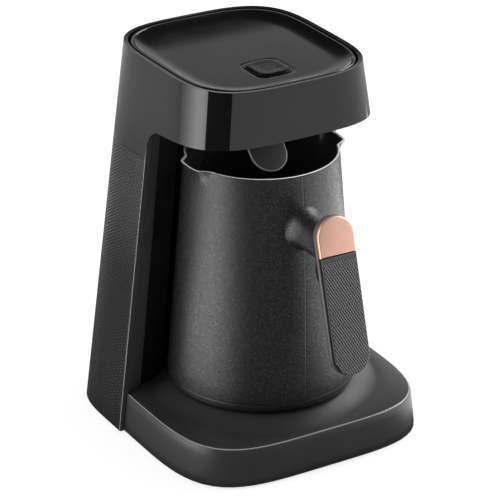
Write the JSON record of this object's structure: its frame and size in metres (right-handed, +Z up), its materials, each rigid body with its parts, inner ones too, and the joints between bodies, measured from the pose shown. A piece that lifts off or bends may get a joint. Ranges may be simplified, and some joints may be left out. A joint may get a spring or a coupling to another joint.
{
  "type": "electric turkish coffee maker",
  "caption": "Tall glossy black electric turkish coffee maker with a C-shaped body, a top button in a sunk tray, a base with a coupler, and a removable pot with pouring lips and a long copper-capped handle.",
  "frame": {"origin": "centre of the bounding box at table height, under the machine", "axes": "+Z up, -Y towards the user and the pot's handle, +X to the machine's right hand side seen from the back and to the user's right"},
  "size_m": [0.1632, 0.1885, 0.22],
  "materials": {
    "gloss_black": "piano gloss, moulded",
    "dark_trim": "dark gloss",
    "satin_black": "fine satin grain",
    "wing_grey": "smooth matte",
    "inner_black": "plain moulded",
    "tongue_grey": "soft, smooth",
    "lens_dark": "dark infrared window",
    "circuit_green": "lacquered board",
    "screw_steel": "zinc plated",
    "led_white": "diffused",
    "rubber_black": "soft matte",
    "gasket_red": "silicone",
    "pot_coating": "satin non-stick coating, fine grain",
    "plate_aluminium": "cast",
    "thermostat_steel": "pressed",
    "contact_brass": "bright",
    "core_steel": "varnished laminations",
    "sleeve_blue": "shrink sleeve",
    "wire_grey": "insulation",
    "handle_grey": "satin",
    "copper": "satin copper"
  },
  "bodies": {
    "machine": {"outer_shell": "gloss_black", "top_tray": "satin_black", "tray_ring": "dark_trim", "button_surround": "gloss_black", "button_dome": "rubber_black", "control_board": "circuit_green", "board_screws": "screw_steel", "tact_switch": "inner_black", "status_leds": "led_white", "buzzer": "inner_black", "head_underside": "inner_black", "sensor_tongue": "tongue_grey", "sensor_lens": "lens_dark", "sensor_board": "circuit_green", "left_wing": "wing_grey", "right_wing": "wing_grey", "bay_liner": "dark_trim", "tower_chassis": "inner_black", "power_board": "circuit_green", "transformer": "core_steel", "relay": "inner_black", "capacitor": "sleeve_blue", "heat_sink": "plate_aluminium", "terminal_block": "inner_black", "board_standoffs": "screw_steel", "chassis_screws": "screw_steel", "head_harness": "wire_grey", "coupler_wires": "wire_grey", "cord_gland": "rubber_black", "base_body": "satin_black", "bottom_cover": "inner_black", "feet": "rubber_black", "cover_screws": "screw_steel", "coupler_socket": "inner_black", "coupler_pins": "contact_brass"},
    "power_button": {"power_button": "satin_black"},
    "switch_plunger": {"switch_plunger": "inner_black"},
    "pot": {"pot_body": "pot_coating", "pot_base_cup": "inner_black", "pot_gasket": "gasket_red", "heater_plate": "plate_aluminium", "heating_element": "plate_aluminium", "thermostat": "thermostat_steel", "cup_screws": "screw_steel", "pot_plug": "inner_black", "pot_contacts": "contact_brass", "handle_frame": "handle_grey", "handle_screw": "screw_steel", "grip_pad": "handle_grey", "copper_cap": "copper"}
  },
  "joints": [
    {"name": "button_press", "type": "slide", "parent": "machine", "child": "power_button", "axis": [0, 0, -1], "range_m": [0, 0.0008], "stiffness_N_per_m": 1000, "springref_m": -0.0008, "deforming": ["button_dome"]},
    {"name": "plunger_press", "type": "slide", "parent": "machine", "child": "switch_plunger", "axis": [0, 0, -1], "range_m": [0, 0.0008]},
    {"name": "pot_draw", "type": "slide", "parent": "machine", "child": "pot", "axis": [0, -0.9877, 0.1564], "range_m": [0, 0.17], "deforming": ["sensor_tongue"]}
  ],
  "couplings": [
    {"joint": "plunger_press", "follows": "button_press", "ratio": 1}
  ]
}
